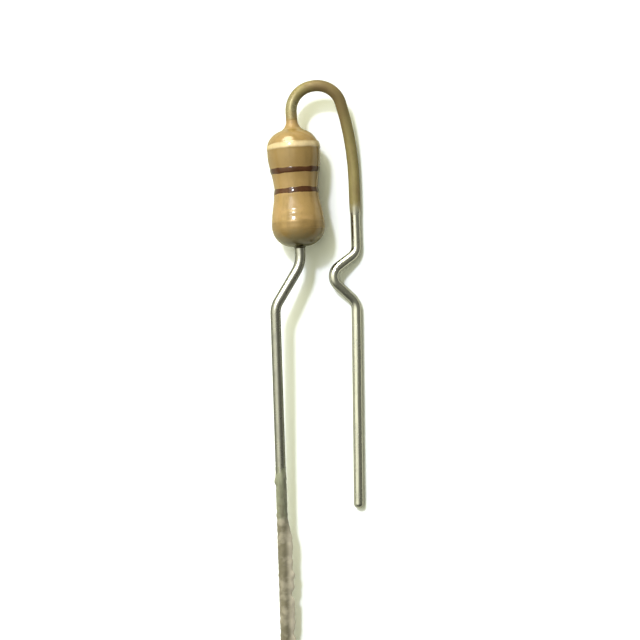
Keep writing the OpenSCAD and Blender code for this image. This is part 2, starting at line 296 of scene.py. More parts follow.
class ResistorLeadSizes(bpy.types.PropertyGroup):
    """Sizes and bends of the two leads"""

    wire_radius: length("Wire radius", 0.24, "Radius of the tinned wire")
    tip_round: length("Tip rounding", 0.16, "Rounding of the lower lead's cut end")
    upper_tip_round: length("Upper tip rounding", 0.22, "Rounding of the upper lead's cut end")
    cap_end: length("Cap end", 2.5, "Where the leads are welded to the caps, from the body's middle")
    lacquer: length("Lead lacquer", 0.03, "Thickness of the lacquer on the upper lead")
    lacquer_stop: length("Lacquer stop", 1.8, "Distance from the kink up to the end of the lacquer")
    lacquer_taper: length("Lacquer taper", 0.5, "Length over which the lacquer thins out")
    hairpin_rise: length("Hairpin rise", 1.86, "Rise of the hairpin's inner corner above the body")
    hairpin_crown: length("Hairpin crown", 0.4, "Rise of its outer corner above the inner one")
    hairpin_lift: length("Hairpin lift", 0.2, "Height of that corner above the body's axis")
    hairpin_splay: turn("Hairpin splay", 18.6, "Splay of the hairpin's outer side")
    hairpin_flat: length("Hairpin flat", 0.06, "Straight stretch between the hairpin's bends")
    leg_bend_drop: length("Long bend drop", 2.71, "Drop from the hairpin to the leg's long bend")
    leg_gap: length("Leg gap", 1.39, "Gap between the body and the leg beside it")
    leg_lean: turn("Leg lean", 2, "Lean of the leg above the kink")
    leg_lift: length("Leg lift", 0.05, "Height of the lacquered leg above the surface at its bend")
    kink_drop: length("Kink drop", 0.28, "Drop from the body's lower end to the kink")
    kink_depth: length("Kink depth", 1.4, "Sideways depth of the kink")
    kink_upper_drop: length("Kink upper drop", 1.08, "Drop along the kink's upper arm")
    kink_lower_drop: length("Kink lower drop", 1.29, "Drop along the kink's lower arm")
    kink_upper_bend: length("Kink upper bend", 0.62, "Bend radius at the kink's upper corner")
    kink_apex_bend: length("Kink apex bend", 0.55, "Bend radius at the kink's apex")
    kink_lower_bend: length("Kink lower bend", 0.75, "Bend radius at the kink's lower corner")
    upper_tail: length("Upper tail", 9.84, "Length of the tail below the kink")
    upper_tail_lean: turn("Upper tail lean", 0.7, "Lean of that tail")
    jog_drop: length("Jog drop", 0.82, "Drop from the body's lower end to the jog")
    jog_across: length("Jog across", 1.2, "Sideways reach of the jog")
    jog_down: length("Jog down", 2.06, "Drop along the jog")
    jog_upper_bend: length("Jog upper bend", 1.5, "Bend radius at the jog's upper corner")
    jog_lower_bend: length("Jog lower bend", 1, "Bend radius at the jog's lower corner")
    lower_tail: length("Lower tail", 24.9, "Length of the tail below the jog")
    lower_tail_lean: turn("Lower tail lean", 1.8, "Lean of that tail")
    residue_start: length("Residue start", 7.1, "Where the residue starts, from the jog down the tail")
    residue_length: length("Residue length", 10.6, "Length of the residue on the lower tail")
    residue: length("Residue", 0.03, "Thickness of the residue")
    residue_lump: length("Residue lump", 0.06, "Height of the lump near the residue's start")
    residue_lump_place: length("Residue lump place", 1.15, "Distance of the lump from that start")
    residue_turn: length("Residue turn", 2.9, "Where the dull film turns to brown adhesive, from its start")
    residue_fin: length("Residue fin", 0.25, "Reach of the adhesive beside the lead")


class ResistorFinishes(bpy.types.PropertyGroup):
    """Colours of the resistor's lacquers, paints and metals"""

    tan: colour("Tan lacquer", (0.374, 0.241, 0.0993), "Body lacquer")
    # The darker tan also serves as painted shade over the end caps
    tan_dark_and_shade: colour("Tan lacquer, thin", (0.248, 0.159, 0.0593), "Body lacquer where the caps show through")
    tan_pale: colour("Tan lacquer, thick", (0.452, 0.285, 0.141), "Body lacquer where it pooled")
    # Painted shade on the body's lower end, and painted shadow round the lower lead
    end_shade: colour("Dust", (0.185, 0.159, 0.0963), "Dust on the body's lower end")
    lead_shadow: colour("Dirt", (0.037, 0.0319, 0.0185), "Dirt round the lower lead")
    white: colour("White paint", (0.64, 0.495, 0.315), "First band")
    brown: colour("Brown paint", (0.0741, 0.0289, 0.0126), "Second band and multiplier band")
    gold: colour("Gold paint", (0.296, 0.189, 0.0741), "Tolerance band")
    olive: colour("Olive lacquer", (0.274, 0.222, 0.0963), "Lacquer on the upper lead")
    olive_brown: colour("Olive lacquer, thick", (0.2, 0.126, 0.063), "That lacquer where it is thick")
    tin: colour("Tin", (0.741, 0.733, 0.689), "Tinned wire")
    tin_dull: colour("Dull tin", (0.459, 0.452, 0.415), "Handled or oxidised tin")
    tin_film: colour("Tin film", (0.66, 0.655, 0.57), "Dull film on the tin")
    residue: colour("Residue", (0.15, 0.13, 0.083), "Old adhesive on the lower lead")
    residue_pale: colour("Residue, thin", (0.64, 0.57, 0.45), "That adhesive where it is thin")
    residue_film: colour("Residue film", (0.215, 0.219, 0.144), "Dull film above that adhesive")
    ceramic: colour("Ceramic", (0.533, 0.504, 0.444), "Core rod")
    carbon: colour("Carbon", (0.00889, 0.00889, 0.00963), "Resistive film")
    steel: colour("Plated steel", (0.444, 0.437, 0.415), "End caps")


class ResistorStageSettings(bpy.types.PropertyGroup):
    """Light, floor and camera"""

    camera_height: length("Camera height", 90, "Height of the camera above the floor")
    view_half: length("Half view", 15.36, "Half the width of floor that the camera sees")
    look_across: length("Look across", 1.1316, "Camera's place from the body's middle, across")
    look_along: length("Look along", -6.203, "Camera's place from the body's middle, along")
    floor_half: length("Floor half width", 1500, "Half the width of the floor")
    floor_white: share("Floor albedo", 0.9, "Share of light that the floor scatters")
    lamp_width: length("Lamp width", 150, "Diameter of the main lamp")
    lamp_height: length("Lamp height", 1000, "Height of the lamps above the floor")
    lamp_power: share("Lamp power", 12.8, "Power of the main lamp, in watts")
    lamp_across: length("Lamp across", -372, "Place of the main lamp from the body, across")
    lamp_along: length("Lamp along", 580, "Place of the main lamp from the body, along")
    side_lamp_width: length("Side lamp width", 450, "Diameter of the side lamp")
    side_lamp_power: share("Side lamp power", 3.5, "Power of the side lamp, in watts")
    side_lamp_across: length("Side lamp across", -540, "Place of the side lamp from the body, across")
    side_lamp_along: length("Side lamp along", 380, "Place of the side lamp from the body, along")
    wide_light: share("Wide light", 1.62, "Brightness of the wide light from the upper left, as mirrored")
    window_light: share("Window light", 21.6, "Brightness of the window beyond the hairpin, as mirrored")
    wide_matt: share("Wide light, matt", 0.64, "Share of the wide light that falls on matt surfaces")
    window_matt: share("Window light, matt", 0.28, "Share of the window's light that falls on matt surfaces")
    room_light: share("Room light", 0.27, "Brightness of the rest of the room")


def body_middle():
    """Middle of the body, which is the middle of the core rod."""
    low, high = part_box("ceramic_rod")
    return (Vector(low) + Vector(high)) / 2


def axis_point(body, along):
    """Point on the body's axis."""
    return body_middle() + Vector((-sin(body.lean) * along, cos(body.lean) * along, 0.0))


def on_axis(body):
    """Places a form turned about Z on the body's axis."""
    return (Matrix.Translation(body_middle()) @ Matrix.Rotation(body.lean, 4, "Z")
            @ Matrix.Rotation(-pi / 2, 4, "X"))


def dome_and_neck(body, leads, upper):
    """Centres of an end's dome and of its hollow neck, that neck's radius, and where they meet."""
    if upper:
        end, dome_r, neck_r = body.upper_end, body.upper_dome, body.upper_neck
        wire_r = leads.wire_radius + leads.lacquer
    else:
        end, dome_r, neck_r = body.lower_end, body.lower_dome, body.lower_neck
        wire_r = leads.wire_radius + body.lower_lip
    dome = Vector((body.bulge_radius - dome_r, end - dome_r))
    across = wire_r + neck_r - dome.x
    neck = dome + Vector((across, sqrt((dome_r + neck_r) ** 2 - across ** 2)))
    meet = atan2(neck.y - dome.y, across)
    return dome, neck, neck_r, meet


def body_radius(body, along):
    """Radius of the body's outside, up to its domes."""
    swell = body.bulge_radius - body.waist_radius
    if abs(along) < body.bulge_place:
        return body.waist_radius + swell * (1 - cos(pi * along / body.bulge_place)) / 2
    end, dome_r = (body.upper_end, body.upper_dome) if along > 0 else (body.lower_end, body.lower_dome)
    past = abs(along) - (end - dome_r)
    if past < 0:
        return body.bulge_radius
    return body.bulge_radius - dome_r + sqrt(max(dome_r ** 2 - past ** 2, 0.0))


def swing(waves, angle, shift):
    """Sum of waves round the body."""
    return sum(height * sin(swings * angle + part * shift + start) for height, swings, part, start in waves)


def bell(distance, reach):
    """A smooth hump that falls off to both sides."""
    return exp(-(distance / reach) ** 2)


def lacquer_wave(body, angle, along):
    """Height of the dipped lacquer's unevenness."""
    from_sag = along - body.sag_place
    sag = body.sag * sin(2 * pi * from_sag / body.sag_pitch) * bell(from_sag, body.sag_reach)
    dent = body.dent * bell(along - body.dent_place, body.dent_reach)
    from_step = along - body.step_place
    step = body.step * sin(pi * from_step / (2 * body.step_reach)) * bell(from_step, body.step_reach)
    facing = bell(angle - SAG_FACING, SAG_SPREAD)
    return body.lacquer_wave * swing(LACQUER_WAVES, angle, along / MM) / 2 + facing * (sag - dent) - step


def upper_lead_path(body, leads):
    """Corners of the upper lead and the bend radius at each."""
    middle = body_middle()
    wire_r = leads.wire_radius
    coat_r = wire_r + leads.lacquer
    leg_x = body.bulge_radius + leads.leg_gap + wire_r
    slope = (middle.z - wire_r) / leg_x
    start = axis_point(body, leads.cap_end)
    inner = axis_point(body, body.upper_end + leads.hairpin_rise)
    outer_y = inner.y + leads.hairpin_crown
    bend_y = outer_y - leads.leg_bend_drop
    top_y = axis_point(body, -body.lower_end).y - leads.kink_drop
    apex_y = top_y - leads.kink_upper_drop
    foot_y = apex_y - leads.kink_lower_drop
    leg_x += middle.x
    bend_x = leg_x - tan(leads.leg_lean) * (bend_y - top_y)
    outer_x = bend_x - tan(leads.hairpin_splay) * leads.leg_bend_drop
    outer = Vector((outer_x, outer_y, middle.z + leads.hairpin_lift))
    leg_bend = Vector((bend_x, bend_y, coat_r + leads.leg_lift))
    kink_top = Vector((leg_x, top_y, coat_r))
    kink_apex = Vector((leg_x - leads.kink_depth, apex_y, wire_r + slope * leads.kink_depth))
    kink_foot = Vector((leg_x, foot_y, wire_r))
    tip = kink_foot + Vector((tan(leads.upper_tail_lean), -1.0, 0.0)) * leads.upper_tail
    points = [start, inner, outer, leg_bend, kink_top, kink_apex, kink_foot, tip]
    half_tans = [tan(corner(points, i)[2] / 2) for i in (1, 2, 3)]
    hairpin_r = ((outer - inner).length - leads.hairpin_flat) / (half_tans[0] + half_tans[1])
    side = (leg_bend - outer).length - leads.hairpin_flat
    leg_bend_r = (side - hairpin_r * half_tans[1]) / half_tans[2]
    radii = [0.0, hairpin_r, hairpin_r, leg_bend_r, leads.kink_upper_bend,
             leads.kink_apex_bend, leads.kink_lower_bend, 0.0]
    return points, radii


def lower_lead_path(body, leads):
    """Corners of the lower lead and the bend radius at each."""
    middle = body_middle()
    wire_r = leads.wire_radius
    slope = (middle.z - wire_r) / (body.bulge_radius + leads.leg_gap + wire_r)
    start = axis_point(body, -leads.cap_end)
    jog_top = axis_point(body, -body.lower_end - leads.jog_drop)
    jog_foot = jog_top + Vector((-leads.jog_across, -leads.jog_down, slope * leads.jog_across))
    fall = (jog_foot.z - wire_r) / leads.lower_tail
    tip = jog_foot + Vector((tan(leads.lower_tail_lean), -1.0, 0.0)) * leads.lower_tail
    tip.z = wire_r - fall * leads.tip_round
    return [start, jog_top, jog_foot, tip], [0.0, leads.jog_upper_bend, leads.jog_lower_bend, 0.0]


def corner(points, i):
    """Ways into and out of a corner of a path, and the turn between them."""
    way_in = (points[i] - points[i - 1]).normalized()
    way_out = (points[i + 1] - points[i]).normalized()
    return way_in, way_out, way_in.angle(way_out)


class DrawnWire:
    """A round wire that grows in a bmesh, ring by ring, and keeps its unbent place as an attribute."""

    def __init__(self, mesh, start, heading, radius):
        self.mesh = mesh
        self.radius = radius
        self.heading = heading
        self.along = 0.0
        self.unbent = mesh.verts.layers.float_vector.new("unbent")
        placing = Matrix.Translation(start) @ heading.to_track_quat("Z", "Y").to_matrix().to_4x4()
        self.ring = bmesh.ops.create_circle(mesh, segments=WIRE_SIDES, radius=radius,
                                            matrix=placing)["verts"]
        self.edges = list({edge for vert in self.ring for edge in vert.link_edges})
        self.first_edges = self.edges
        back = placing.inverted()
        for vert in self.ring:
            vert[self.unbent] = back @ vert.co

    def take(self, made, step):
        self.ring = [item for item in made if isinstance(item, bmesh.types.BMVert)]
        ends = set(self.ring)
        self.edges = [item for item in made
                      if isinstance(item, bmesh.types.BMEdge) and set(item.verts) <= ends]
        self.along += step
        for vert in self.ring:
            place = vert[self.unbent].copy()
            place.z = self.along
            vert[self.unbent] = place

    def middle(self):
        return sum((vert.co for vert in self.ring), Vector()) / len(self.ring)

    def straight(self, distance, steps=1):
        step = distance / steps
        for _ in range(steps):
            made = bmesh.ops.extrude_edge_only(self.mesh, edges=self.edges)["geom"]
            self.take(made, step)
            bmesh.ops.translate(self.mesh, verts=self.ring, vec=self.heading * step)

    def bend(self, way_out, angle, radius):
        side = (way_out - way_out.dot(self.heading) * self.heading).normalized()
        axis = self.heading.cross(side)
        centre = self.middle() + side * radius
        steps = max(2, round(angle / BEND_STEP))
        for _ in range(steps):
            made = bmesh.ops.spin(self.mesh, geom=self.ring + self.edges, cent=centre, axis=axis,
                                  angle=angle / steps, steps=1, use_merge=False)["geom_last"]
            self.take(made, radius * angle / steps)
        self.heading = way_out

    def resize(self, radius):
        factor = radius / self.radius
        bmesh.ops.scale(self.mesh, verts=self.ring, vec=(factor, factor, factor),
                        space=Matrix.Translation(-self.middle()))
        self.radius = radius

    def round_off(self, rounding):
        full = self.radius
        before = 0.0
        for i in range(1, TIP_STEPS + 1):
            angle = pi / 2 * i / TIP_STEPS
            reach = rounding * sin(angle)
            self.straight(reach - before)
            self.resize(full - rounding * (1 - cos(angle)))
            before = reach
        self.close(self.edges)

    def close(self, edges):
        bmesh.ops.contextual_create(self.mesh, geom=edges)

    def follow(self, points, radii, last_short=0.0):
        """Runs along a path, with a bend at each inner corner, and stops short of its end."""
        used = 0.0
        for i in range(1, len(points)):
            distance = (points[i] - points[i - 1]).length
            if i == len(points) - 1:
                self.straight(distance - used - last_short)
                break
            _, way_out, angle = corner(points, i)
            setback = radii[i] * tan(angle / 2)
            self.straight(distance - used - setback)
            self.bend(way_out, angle, radii[i])
            used = setback


def add_piece(mesh, name, material):
    """Makes a finished bmesh an object that rides on the part."""
    bmesh.ops.recalc_face_normals(mesh, faces=mesh.faces)
    for face in mesh.faces:
        face.smooth = True
    data = bpy.data.meshes.new(name)
    mesh.to_mesh(data)
    mesh.free()
    data.set_sharp_from_angle(angle=SHARP_EDGE)
    data.materials.append(material)
    piece = bpy.data.objects.new(name, data)
    bpy.context.scene.collection.objects.link(piece)
    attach(piece, "root")
    return piece


def fill(node, inputs):
    """Sets a node's inputs to values or joins them to other nodes' sockets."""
    for key, value in inputs.items():
        if isinstance(value, bpy.types.NodeSocket):
            node.id_data.links.new(value, node.inputs[key])
        else:
            node.inputs[key].default_value = value


def put(tree, kind, inputs=None, **settings):
    """Adds a node with its settings and its inputs, and gives its outputs."""
    made = tree.nodes.new(kind)
    for key, value in settings.items():
        setattr(made, key, value)
    fill(made, inputs or {})
    return made.outputs


def joined(kind, inputs, **settings):
    """Adds a node to the tree that its inputs come from."""
    tree = next(value.id_data for value in inputs.values() if isinstance(value, bpy.types.NodeSocket))
    return put(tree, kind, inputs, **settings)


def tint(source):
    """Colour for a node's input: a socket as it is, or red, green and blue at full cover."""
    return source if isinstance(source, bpy.types.NodeSocket) else (*source[:3], 1.0)


def toned(rgb, factor):
    return tuple(min(value * factor, 1.0) for value in rgb)


def mixed(first, second, part):
    return tuple(a + (b - a) * part for a, b in zip(first, second))


def maths(operation, first, second=0.0):
    return joined("ShaderNodeMath", {0: first, 1: second}, operation=operation)[0]


def times(first, second):
    return maths("MULTIPLY", first, second)


def plus(first, second):
    return maths("ADD", first, second)


def minus(first, second):
    return maths("SUBTRACT", first, second)


def larger(first, second):
    return maths("MAXIMUM", first, second)


def spread(value, low, high, to_low=0.0, to_high=1.0):
    """Maps a value smoothly from one range to another."""
    inputs = {"Value": value, "From Min": low, "From Max": high, "To Min": to_low, "To Max": to_high}
    return joined("ShaderNodeMapRange", inputs, interpolation_type="SMOOTHSTEP")["Result"]


def fade(value, place, start, end, before, after):
    """Maps a distance in millimetres smoothly from one level to another, past a place on the part."""
    return spread(value, place / MM + start, place / MM + end, before, after)


def blended(factor, first, second):
    inputs = {0: factor, 6: tint(first), 7: tint(second)}
    return joined("ShaderNodeMix", inputs, data_type="RGBA")[2]


def stretched(vector, scale):
    return joined("ShaderNodeMapping", {"Vector": vector, "Scale": scale})["Vector"]


def cloudy(vector, stretch, scale, detail):
    inputs = {"Vector": stretched(vector, stretch), "Scale": scale, "Detail": detail,
              "Roughness": NOISE_ROUGHNESS}
    return joined("ShaderNodeTexNoise", inputs)["Fac"]


def patterned(vector, stretch, scale, detail, low, high):
    return spread(cloudy(vector, stretch, scale, detail), low, high)


def uneven(vector, scale, size):
    """A cloudy value that swings about zero."""
    return times(minus(cloudy(vector, UNSTRETCHED, scale, DETAIL), NOISE_MEAN), size)


def axis_value(vector, axis):
    return joined("ShaderNodeSeparateXYZ", {0: vector})[axis]


def new_group(name, inputs, outputs):
    """Starts a shader node group with sockets of the given kinds."""
    tree = bpy.data.node_groups.new(name, "ShaderNodeTree")
    for way, sockets in (("INPUT", inputs), ("OUTPUT", outputs)):
        for label, kind in sockets.items():
            tree.interface.new_socket(name=label, in_out=way, socket_type="NodeSocket" + kind)
    return tree, tree.nodes.new("NodeGroupInput").outputs, tree.nodes.new("NodeGroupOutput")


def build_mottle(name):
    """Streaks and clouds of a darker and a paler tone in a lacquer or paint."""
    tree, given, result = new_group(
        name,
        {"Vector": "Vector", "Colour": "Color", "Dark": "Color", "Pale": "Color",
         "Streaks": "Float", "Clouds": "Float"},
        {"Colour": "Color"})
    streak = patterned(given["Vector"], *STREAKS)
    cloud = patterned(given["Vector"], *CLOUDS)
    speck = patterned(given["Vector"], *SPECKS)
    tone = blended(times(streak, given["Streaks"]), given["Colour"], given["Dark"])
    tone = blended(times(cloud, given["Clouds"]), tone, given["Pale"])
    fine = times(times(speck, given["Clouds"]), SPECK_PART)
    fill(result, {"Colour": blended(fine, tone, given["Dark"])})
    return tree


def build_skin(name):
    """Orange-peel height and uneven gloss of a dipped or painted skin."""
    tree, given, result = new_group(
        name,
        {"Vector": "Vector", "Gloss": "Float", "Dulling": "Float"},
        {"Height": "Float", "Roughness": "Float"})
    swell = cloudy(given["Vector"], *SWELL)
    grain = cloudy(given["Vector"], *GRAIN)
    dull = patterned(given["Vector"], *DULL_SPOTS)
    fill(result, {
        "Height": plus(swell, times(grain, GRAIN_HEIGHT)),
        "Roughness": plus(times(dull, given["Dulling"]), given["Gloss"])})
    return tree


def build_drawn_metal(name):
    """Draw lines, stains and dull patches of a drawn and plated metal."""
    tree, given, result = new_group(
        name,
        {"Vector": "Vector", "Metal": "Color", "Stain": "Color", "Stained": "Float", "Gloss": "Float"},
        {"Colour": "Color", "Roughness": "Float", "Height": "Float"})
    lines = cloudy(given["Vector"], *DRAW_LINES)
    pits = patterned(given["Vector"], *PITS)
    stain = larger(patterned(given["Vector"], *PATCHES), pits)
    stain = times(stain, given["Stained"])
    streak = times(spread(lines, *DRAW_RANGE), times(given["Stained"], DRAW_STAIN))
    fill(result, {
        "Colour": blended(larger(stain, streak), given["Metal"], given["Stain"]),
        "Roughness": plus(given["Gloss"], times(stain, STAIN_ROUGHNESS)),
        "Height": minus(lines, times(pits, PIT_DEPTH))})
    return tree


def grouped(name, build, inputs):
    """Places a node group, which is built at its first use."""
    group = bpy.data.node_groups.get(name) or build(name)
    return joined("ShaderNodeGroup", inputs, node_tree=group)


def mottled(vector, source, dark, pale, streaks, clouds):
    inputs = {"Vector": vector, "Colour": tint(source), "Dark": tint(dark), "Pale": tint(pale),
              "Streaks": streaks, "Clouds": clouds}
    return grouped("Lacquer mottle", build_mottle, inputs)["Colour"]


def dipped(vector, gloss, dulling=SKIN_DULLING):
    inputs = {"Vector": vector, "Gloss": gloss, "Dulling": dulling}
    return grouped("Lacquer skin", build_skin, inputs)


def drawn(vector, metal, stain, stained, gloss):
    inputs = {"Vector": vector, "Metal": tint(metal), "Stain": tint(stain),
              "Stained": stained, "Gloss": gloss}
    return grouped("Drawn metal", build_drawn_metal, inputs)


def body_vector(tree):
    """Object coordinates in millimetres from the body's middle, with Y along its axis."""
    body = bpy.context.scene.resistor_body
    place = put(tree, "ShaderNodeTexCoord")["Object"]
    inputs = {"Vector": place, "Location": body_middle(), "Rotation": (0.0, 0.0, body.lean),
              "Scale": (MM, MM, MM)}
    return joined("ShaderNodeMapping", inputs, vector_type="TEXTURE")["Vector"]


def unbent_vector(tree):
    """Place on the wire before it was bent, in millimetres, with Z along it."""
    place = put(tree, "ShaderNodeAttribute", attribute_name="unbent")["Vector"]
    return stretched(place, (1 / MM, 1 / MM, 1 / MM))


def along_y(vector):
    """Turns a place on the wire so that Y runs along it, as in the body's own coordinates."""
    parts = joined("ShaderNodeSeparateXYZ", {0: vector})
    return joined("ShaderNodeCombineXYZ", {0: parts["X"], 1: parts["Z"], 2: parts["Y"]})[0]


def new_material(name):
    """Starts a material with an empty Principled BSDF."""
    material = bpy.data.materials.new(name)
    material.use_nodes = True
    tree = material.node_tree
    return material, tree, tree.nodes["Principled BSDF"]


def bumped(height, distance):
    inputs = {"Height": height, "Distance": distance, "Strength": 1.0}
    return joined("ShaderNodeBump", inputs)["Normal"]


def film(rgb):
    """Shader inputs of a thin film that swallows more light where it is seen at a slant."""
    return {"Coat Weight": 1.0, "Coat IOR": FILM_IOR, "Coat Roughness": FILM_ROUGHNESS,
            "Coat Tint": tint(rgb)}


def coated_finish(name, rgb, dark, pale, streaks, clouds, gloss, metal=0.0, wave=SKIN_WAVE):
    """A mottled lacquer or paint with an uneven glossy skin."""
    material, tree, shader = new_material(name)
    vector = body_vector(tree)
    skin = dipped(vector, gloss)
    fill(shader, {
        "Base Color": mottled(vector, rgb, toned(rgb, dark), toned(rgb, pale), streaks, clouds),
        "Roughness": skin["Roughness"],
        "Metallic": metal,
        "Specular IOR Level": DULL_SHINE,
        "Normal": bumped(skin["Height"], wave),
        **film(LACQUER_FILM)})
    return material


def body_finish(body, finish):
    """Tan lacquer with painted shade: darker over the end caps and towards the lower end, with a painted
    shadow round the lower lead.
    """
    material, tree, shader = new_material("tan_lacquer")
    vector = body_vector(tree)
    along = axis_value(vector, "Y")
    tone = mottled(vector, finish.tan, finish.tan_dark_and_shade, finish.tan_pale, *BODY_MOTTLE)
    # Painted shade: darker over the end caps, less so on the upper dome, which faces the light
    painted_upper_shade = fade(along, body.cap_rim, *UPPER_CAP_SHADE)
    painted_upper_shade = times(painted_upper_shade, fade(along, body.cap_rim, *UPPER_DOME_SHADE))
    painted_lower_shade = fade(along, -body.cap_rim, *LOWER_CAP_SHADE)
    tone = blended(larger(painted_upper_shade, painted_lower_shade), tone, finish.tan_dark_and_shade)
    # Painted shade, greyer towards the lower end, and a painted shadow round the lower lead
    patchy = plus(along, uneven(vector, *END_SHADE_RAGGED))
    end_shade_mask = fade(patchy, -body.lower_end, *END_SHADE)
    tone = blended(end_shade_mask, tone, finish.end_shade)
    across = joined("ShaderNodeVectorMath", {0: vector, 1: (1.0, 0.0, 1.0)}, operation="MULTIPLY")
    from_axis = joined("ShaderNodeVectorMath", {0: across[0]}, operation="LENGTH")
    lead_shadow_mask = times(spread(from_axis["Value"], *LEAD_SHADOW), end_shade_mask)
    skin = dipped(vector, BODY_GLOSS)
    fill(shader, {
        "Base Color": blended(lead_shadow_mask, tone, finish.lead_shadow),
        "Roughness": plus(skin["Roughness"], fade(along, body.upper_end, *NECK_DULLING)),
        "Specular IOR Level": PAINT_SHINE,
        "Normal": bumped(skin["Height"], SKIN_WAVE),
        **film(LACQUER_FILM)})
    return material


def band_finish(name, rgb, under, place, core, edge, gloss, metal=0.0):
    """Paint that thins out to the lacquer under it at the band's edges."""
    material, tree, shader = new_material(name)
    vector = body_vector(tree)
    tone = mottled(vector, rgb, toned(rgb, BAND_DARK), toned(rgb, BAND_PALE), *BAND_MOTTLE)
    from_middle = maths("ABSOLUTE", minus(axis_value(vector, "Y"), place / MM))
    from_middle = plus(from_middle, uneven(vector, *BAND_RAGGED))
    skin = dipped(vector, gloss)
    fill(shader, {
        "Base Color": blended(spread(from_middle, core / MM, edge / MM), tone, under),
        "Roughness": skin["Roughness"],
        "Metallic": metal,
        "Specular IOR Level": PAINT_SHINE,
        "Normal": bumped(skin["Height"], SKIN_WAVE),
        **film(LACQUER_FILM)})
    return material


def wire_finish(name, finish, film_rgb, stained, gloss):
    """Tinned wire with draw lines and stains that follow its bends."""
    material, tree, shader = new_material(name)
    look = drawn(unbent_vector(tree), finish.tin, finish.tin_dull, stained, gloss)
    fill(shader, {
        "Base Color": look["Colour"],
        "Roughness": look["Roughness"],
        "Metallic": 1.0,
        "Normal": bumped(look["Height"], SKIN_WAVE),
        **film(film_rgb)})
    return material


def lead_lacquer_finish(finish, whole):
    """Olive lacquer over the wire, which starts tan at the neck and fades to bare tin at its stop."""
    material, tree, shader = new_material("olive_lacquer")
    vector = unbent_vector(tree)
    tone = mottled(along_y(vector), finish.olive, finish.olive_brown,
                   toned(finish.olive, LEAD_PALE), *LEAD_MOTTLE)
    metal = drawn(vector, toned(finish.tin, LEAD_TIN), toned(finish.tin_dull, LEAD_TIN),
                  *LACQUERED_WIRE)
    along = plus(axis_value(vector, "Z"), uneven(vector, *LEAD_RAGGED))
    browned = times(spread(along, *BROWN_START), spread(along, *BROWN_END))
    worn = times(spread(along, *WORN_START), spread(along, *WORN_END))
    thick = spread(along, *NECK_TAN)
    bare = fade(along, whole, *TIN_SHOWS)
    tone = blended(browned, tone, finish.olive_brown)
    tone = blended(worn, tone, mixed(finish.olive, finish.tin_film, WORN_TIN))
    tone = blended(thick, tone, mixed(finish.tan, finish.tan_dark_and_shade, NECK_DARK))
    skin = dipped(vector, LEAD_GLOSS, LEAD_DULLING)
    rough = plus(skin["Roughness"], spread(along, *LEAD_STAIN))
    film_metal = plus(spread(along, *FILM_METAL), worn)
    film_metal = times(film_metal, minus(1.0, thick))
    fill(shader, {
        "Base Color": blended(bare, tone, metal["Colour"]),
        "Roughness": minus(rough, times(bare, LEAD_BARE_GLOSS)),
        "Metallic": larger(film_metal, bare),
        "Specular IOR Level": PAINT_SHINE,
        "Normal": bumped(skin["Height"], LEAD_WAVE),
        **film(LEAD_FILM)})
    return material


def residue_finish(finish, turn_place):
    """A dull film that turns to brown adhesive along the lead."""
    material, tree, shader = new_material("residue")
    vector = unbent_vector(tree)
    along = axis_value(vector, "Z")
    ragged = uneven(vector, *RESIDUE_RAGGED)
    brown = fade(plus(along, ragged), turn_place, *RESIDUE_TURN)
    tone = blended(brown, finish.residue_film, finish.residue)
    fin = put(tree, "ShaderNodeAttribute", attribute_name="fin")["Fac"]
    tone = blended(fin, tone, finish.residue_pale)
    tone = mottled(along_y(vector), tone, toned(finish.residue, RESIDUE_DARK),
                   finish.residue_pale, *RESIDUE_MOTTLE)
    bare = spread(plus(along, times(ragged, BARE_RAGGED)), *RESIDUE_BARE)
    skin = dipped(vector, RESIDUE_GLOSS, RESIDUE_DULLING)
    fill(shader, {
        "Base Color": blended(bare, tone, toned(finish.residue_film, RESIDUE_BARE_TONE)),
        "Roughness": minus(skin["Roughness"], times(bare, RESIDUE_BARE_GLOSS)),
        "Metallic": times(bare, RESIDUE_METAL),
        "Specular IOR Level": DULL_SHINE,
        "Normal": bumped(skin["Height"], RESIDUE_WAVE)})
    return material


def settings_of(context):
    """Sizes of the body and the leads, and the finishes."""
    scene = context.scene
    return scene.resistor_body, scene.resistor_leads, scene.resistor_finishes


def held(value):
    """A value held between 0 and 1."""
    return min(max(value, 0.0), 1.0)


class RESISTOR_OT_leads(bpy.types.Operator):
    """Draw the two tinned leads along their bends"""

    bl_idname = "resistor.leads"
    bl_label = "Formed leads"

    def execute(self, context):
        body, leads, finish = settings_of(context)
        bright = wire_finish("tinned_wire", finish, finish.tin_film, *BRIGHT_WIRE)
        handled_film = toned(finish.tin_film, HANDLED_FILM)
        dull = wire_finish("tinned_wire_handled", finish, handled_film, *HANDLED_WIRE)
        for name, path, material, rounding in (
                ("upper_lead_wire", upper_lead_path, bright, leads.upper_tip_round),
                ("lower_lead_wire", lower_lead_path, dull, leads.tip_round)):
            points, radii = path(body, leads)
            mesh = bmesh.new()
            wire = DrawnWire(mesh, points[0], corner(points, 1)[0], leads.wire_radius)
            wire.follow(points, radii, rounding)
            wire.round_off(rounding)
            wire.close(wire.first_edges)
            piece = add_piece(mesh, name, material)
            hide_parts(name.removesuffix("_wire"))
        return {"FINISHED"}


